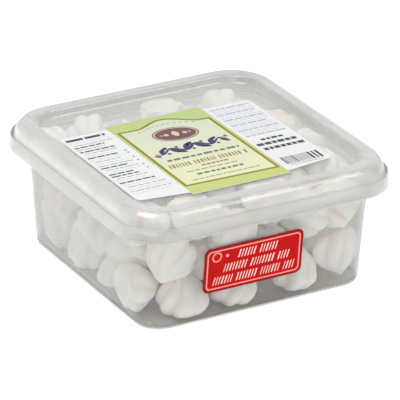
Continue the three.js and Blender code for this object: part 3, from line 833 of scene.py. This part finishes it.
def kiss(i, radius, height, around=AROUND, up=UP):
    """One piped kiss on its base: points in millimetres, faces, and how deep in a crease or near the base."""
    twist = 0.5 + 0.7 * uneven(i, 3)
    phase = 6.283 * uneven(i, 4)
    lean = radius * (0.1 + 0.16 * uneven(i, 5))
    lean_way = 6.283 * uneven(i, 6)
    rng = np.random.default_rng(500 + i)
    curve = smooth_curve(KISS, up)[1:-1]
    share, rho = curve[:, 1], curve[:, 0]
    theta = 2 * math.pi * np.arange(around) / around
    # each lobe stands out a little more or less than its neighbours, and some are wider
    lobe_push = 0.034 * rng.uniform(-1, 0.5, LOBES)
    crease_share = rng.uniform(0.45, 1.1, LOBES)
    shove = 0.10 * rng.uniform(-1, 1, 3)
    T, S = np.meshgrid(theta, share, indexing="xy")
    local = T - phase - twist * S
    local = local + shove[0] * np.sin(local + 6.28 * shove[1]) + shove[2] * np.sin(2 * local)
    local = local * LOBES / (2 * math.pi)
    nearest = np.round(local).astype(int)
    ridge = np.power(np.abs(np.cos(math.pi * (local - nearest))), 0.85)
    push = lobe_push[nearest % LOBES] * ridge
    depth = (RIDGE - CREASE) * np.interp(share, [0, 0.03, 0.5, 0.9, 1.0], [0.7, 1.0, 1.0, 0.85, 0.5])[:, None]
    depth = depth * crease_share[np.floor(local).astype(int) % LOBES]
    factor = RIDGE - depth * (1 - ridge) + push
    R = radius * rho[:, None] * factor
    X = R * np.cos(T) + lean * S**2 * math.cos(lean_way)
    Y = R * np.sin(T) + lean * S**2 * math.sin(lean_way)
    Z = height * S
    p = np.column_stack([X.ravel(), Y.ravel(), Z.ravel()])
    bottom = np.array([[0.0, 0.0, height * KISS[0][1]]])
    tip = np.array([[lean * math.cos(lean_way), lean * math.sin(lean_way), height * KISS[-1][1]]])
    p = np.vstack([p, bottom, tip])
    # soft unevenness: broad dents, and the small pits and grain of a dry crust
    centre = np.column_stack([lean * (p[:, 2] / height) ** 2 * math.cos(lean_way),
                              lean * (p[:, 2] / height) ** 2 * math.sin(lean_way), np.clip(p[:, 2], 0.25 * height, 0.7 * height)])
    out = p - centre
    out /= np.linalg.norm(out, axis=1)[:, None] + 1e-9
    tall = np.clip(np.linalg.norm(p[:, :2] - centre[:, :2], axis=1) / (0.3 * radius), 0, 1)
    shift = -0.45 + 0.5 * soft_noise(p, 13.0, rng) + 0.15 * soft_noise(p, 4.6, rng)
    p = p + out * (shift * (0.25 + 0.75 * tall))[:, None]
    p[:, 2] = np.maximum(p[:, 2], 0.05)
    n_rings = len(share)
    crease = np.r_[((1 - ridge) ** 1.5 * np.interp(share, [0.05, 0.15, 0.8, 1], [0, 1, 0.9, 0.4])[:, None]).ravel(), 0, 0]
    foot = np.r_[np.repeat(np.interp(share, [0.0, 0.02, 0.10, 0.2], [1.0, 1.0, 0.35, 0.0]), around), 1, 0]
    j, k = np.meshgrid(np.arange(n_rings - 1), np.arange(around), indexing="ij")
    k2 = (k + 1) % around
    faces = np.stack([j * around + k, j * around + k2, (j + 1) * around + k2, (j + 1) * around + k], -1).reshape(-1, 4).tolist()
    ring = np.arange(around)
    nxt = (ring + 1) % around
    last = (n_rings - 1) * around
    base, top = n_rings * around, n_rings * around + 1
    faces += np.stack([np.full(around, base), nxt, ring], -1).tolist()
    faces += np.stack([np.full(around, top), last + ring, last + nxt], -1).tolist()
    return p, faces, crease, foot


def cookie(i, row):
    radius = 15.0 + 2.2 * uneven(i, 1)
    p, faces, crease, foot = kiss(i, radius, radius * (1.6 + 0.36 * uneven(i, 2)))
    x, y, z, azimuth, elevation, spin = row
    p = keep_inside(p @ turn(azimuth, elevation, spin).T + np.array([x, y, z]))
    obj = mesh_object(f"kiss_{i + 1:02d}", p, faces, [MERINGUE], attributes={"crease": crease, "foot": foot})
    return piece(obj, "meringue", f"meringue_{i + 1:02d}")


def heap():
    """The kisses in the hidden middle, one mesh."""
    points, faces, creases, feet, count = [], [], [], [], 0
    for layer, ground in enumerate(HEAP_LAYERS):
        for a in (-1, 0, 1):
            for b in (-1, 0, 1):
                i = 200 + layer * 9 + (a + 1) * 3 + b + 1
                p, f, c, t = kiss(i, 0.97 * HEAP_RADIUS * (0.97 + 0.06 * uneven(i, 1)),
                                  HEAP_HEIGHT * (0.94 + 0.12 * uneven(i, 2)), 70, 30)
                tx, ty = (uneven(i, 4) - 0.5) * HEAP_TILT, (uneven(i, 5) - 0.5) * HEAP_TILT
                p = p @ np.array(Matrix.Rotation(ty, 3, "Y") @ Matrix.Rotation(tx, 3, "X")).T
                p[:, 2] += ground - p[:, 2].min()
                p[:, 0] += HEAP_SPACING * a + (uneven(i, 6) - 0.5) * HEAP_JITTER
                p[:, 1] += HEAP_SPACING * b + (uneven(i, 7) - 0.5) * HEAP_JITTER
                points.append(p)
                faces += [[v + count for v in face] for face in f]
                creases.append(c)
                feet.append(t)
                count += len(p)
    obj = mesh_object("kiss_heap", np.vstack(points), faces, [MERINGUE],
                      attributes={"crease": np.concatenate(creases), "foot": np.concatenate(feet)})
    return piece(obj, "meringue", "heap_middle")


def crumbs(count=48):
    """Loose crumbs and broken flakes on the tub's floor, thickest along the walls."""
    rng = np.random.default_rng(77)
    ball = bmesh.new()
    bmesh.ops.create_icosphere(ball, subdivisions=2, radius=1.0)
    unit = np.array([v.co[:] for v in ball.verts])
    tris = [[v.index for v in f.verts] for f in ball.faces]
    ball.free()
    points, faces, base = [], [], 0
    for _ in range(count):
        size = 0.22 + 0.5 * rng.uniform() ** 3
        reach = 76.0 - size
        x, y = rng.uniform(-reach, reach, 2)
        if rng.uniform() < 0.55:
            edge = rng.integers(4)
            near_wall = reach - abs(rng.normal(0, 5.0))
            x, y = [(near_wall, y), (-near_wall, y), (x, near_wall), (x, -near_wall)][edge]
        corner = 14.0
        over = np.maximum(np.abs([x, y]) - (reach - corner), 0)
        if np.hypot(*over) > corner:
            continue
        p = unit * (1 + 0.22 * soft_noise(unit * 1.4, 2.2, rng, 5)[:, None]) * size
        p = p * rng.uniform(0.7, 1.25, 3) * np.array([1, 1, 0.75])
        spin = rng.uniform(0, 2 * math.pi)
        p = p @ np.array([[math.cos(spin), -math.sin(spin), 0], [math.sin(spin), math.cos(spin), 0], [0, 0, 1]])
        p[:, 2] += 1.45 - p[:, 2].min()
        p += [x, y, 0]
        points.append(p)
        faces += [[v + base for v in t] for t in tris]
        base += len(p)
    n = sum(map(len, points))
    # painted shade: the crumbs take the creases' darker peach tint all over
    obj = mesh_object("crumbs", np.vstack(points), faces, [MERINGUE],
                      attributes={"crease": np.full(n, 0.8), "foot": np.full(n, 0.6)})
    return piece(obj, "meringue")


for number, line in enumerate(LIE):
    cookie(number, line)
heap()
crumbs()

# ------------------------------------------------------------------- studio
CAMERA = Vector((-1.01220800, -1.73169579, 0.97259127))
# the outline's square at several heights: half-width, corner radius, height
WALL_LEVELS = [(78.8, 16.3, 1.0), (80.2, 17.9, 16.0), (81.7, 19.5, 33.0), (83.0, 21.0, 48.0), (84.3, 22.6, 64.4)]
RIM_LEVELS = [(93.0, 26.2, 65.4), (94.6, 27.0, 67.0), (94.4, 27.5, 75.6), (91.9, 28.4, 80.0), (89.3, 27.2, 83.9), (87.6, 26.2, 84.5)]


def shade_reach(levels, middle, ways):
    """How far the painted shadow runs from its middle each way: the widest of the hull's support lines there."""
    points = []
    for h, r, z in levels:
        k = 1 + z * MM / (CAMERA.z - z * MM)
        for x, y, _ in square_ring(h, r, z):
            points.append((k * x * MM + (1 - k) * CAMERA.x, k * y * MM + (1 - k) * CAMERA.y))
    points = np.array(points) - middle
    normal = np.radians(np.arange(0, 360, 1.5))
    lines = np.column_stack([np.cos(normal), np.sin(normal)])
    support = (points @ lines.T).max(0)
    along = ways @ lines.T
    return np.where(along > 0.02, support / np.maximum(along, 0.02), 9.0).min(1)


def floor_mesh():
    middle = np.array([0.045, 0.077])
    angle = np.radians(np.arange(0, 360, 1.5))
    ways = np.column_stack([np.cos(angle), np.sin(angle)])
    reach = np.maximum(shade_reach(WALL_LEVELS, middle, ways), shade_reach(RIM_LEVELS, middle, ways))
    n = len(angle)
    # the painted shadow covers the floor seen through the tub from the camera's place, fading out just inside
    # its edge
    rings = [(reach - 0.0020, 1.0), (reach - 0.0004, 0.0), (np.full(n, 4.0), 0.0)]
    vertices, shade, faces = [(*(middle / MM), 0.0)], [1.0], []
    for j, (far, value) in enumerate(rings):
        vertices += [(*((middle + w * d) / MM), 0.0) for w, d in zip(ways, far)]
        shade += [value] * n
        for k in range(n):
            a, b = 1 + j * n + k, 1 + j * n + (k + 1) % n
            faces.append((0, a, b) if j == 0 else (a - n, a, b, b - n))
    return mesh_object("floor", vertices, faces, [floor_material()], smooth=False, attributes={"shade": shade})


floor_mesh()

world = bpy.data.worlds.new("studio")
bpy.context.scene.world = world
world.use_nodes = True
sky = world.node_tree
way = sky.nodes.new("ShaderNodeTexCoord")
split = sky.nodes.new("ShaderNodeSeparateXYZ")
fade = sky.nodes.new("ShaderNodeMapRange")
for key, v in (("From Min", 0.2), ("From Max", 0.9), ("To Min", 0.55), ("To Max", 1.12)):
    fade.inputs[key].default_value = v
sky.links.new(way.outputs["Generated"], split.inputs[0])
sky.links.new(split.outputs["Z"], fade.inputs["Value"])
side = sky.nodes.new("ShaderNodeMapRange")
for key, v in (("From Min", -1.0), ("From Max", 1.0), ("To Min", 1.04), ("To Max", 0.82)):
    side.inputs[key].default_value = v
both = sky.nodes.new("ShaderNodeMath")
both.operation = "MULTIPLY"
sky.links.new(split.outputs["X"], side.inputs["Value"])
sky.links.new(fade.outputs["Result"], both.inputs[0])
sky.links.new(side.outputs["Result"], both.inputs[1])
sky.links.new(both.outputs[0], sky.nodes["Background"].inputs["Strength"])
sky.nodes["Background"].inputs["Color"].default_value = (1.0, 1.0, 1.0, 1.0)


def softbox(name, place, aim, size, power, gloss_only=False):
    light = bpy.data.lights.new(name, "AREA")
    light.shape = "RECTANGLE"
    light.size, light.size_y = size
    light.energy = power
    obj = bpy.data.objects.new(name, light)
    obj.visible_diffuse = not gloss_only
    obj.location = place
    obj.rotation_euler = (Vector(aim) - Vector(place)).to_track_quat("-Z", "Y").to_euler()
    bpy.context.scene.collection.objects.link(obj)
    return obj


softbox("overhead_left", (-0.44, -0.14, 0.86), (0, 0, 0.06), (0.42, 0.40), 2.1)
softbox("shoulder", (0.53, -0.70, 0.78), (0, 0, 0.07), (0.42, 0.42), 1.2)
softbox("front_left", (-0.75, -1.15, 0.85), (0, 0, 0.04), (0.9, 0.6), 1.2)
softbox("front_right", (0.55, -1.25, 0.60), (0, 0, 0.05), (0.7, 0.5), 0.3)
softbox("streak_front", (0.55, -0.66, 0.92), (0, 0, 0.08), (0.40, 0.60), 1.3, gloss_only=True)
softbox("streak_corner", (-0.55, -0.22, 1.02), (0, 0, 0.08), (0.80, 0.70), 3.4, gloss_only=True)

camera = bpy.data.cameras.new("camera")
camera.sensor_width = 36.0
camera.lens = 314.55
camera.clip_start, camera.clip_end = 0.05, 50.0
view = bpy.data.objects.new("camera", camera)
right = Vector((0.86667329, -0.49857771, 0.01725325))
up = Vector((0.19649708, 0.37294913, 0.90680640))
back = Vector((-0.45854804, -0.78251467, 0.42119412))
view.matrix_world = Matrix((
    (right.x, up.x, back.x, -1.01220800),
    (right.y, up.y, back.y, -1.73169579),
    (right.z, up.z, back.z, 0.97259127),
    (0, 0, 0, 1),
))
bpy.context.scene.collection.objects.link(view)
bpy.context.scene.camera = view

scene = bpy.context.scene
scene.view_settings.view_transform = "Standard"
scene.view_settings.look = "None"
scene.view_settings.exposure = 0.0
scene.cycles.transparent_max_bounces = 32
scene.cycles.max_bounces = 18
scene.cycles.diffuse_bounces = 14
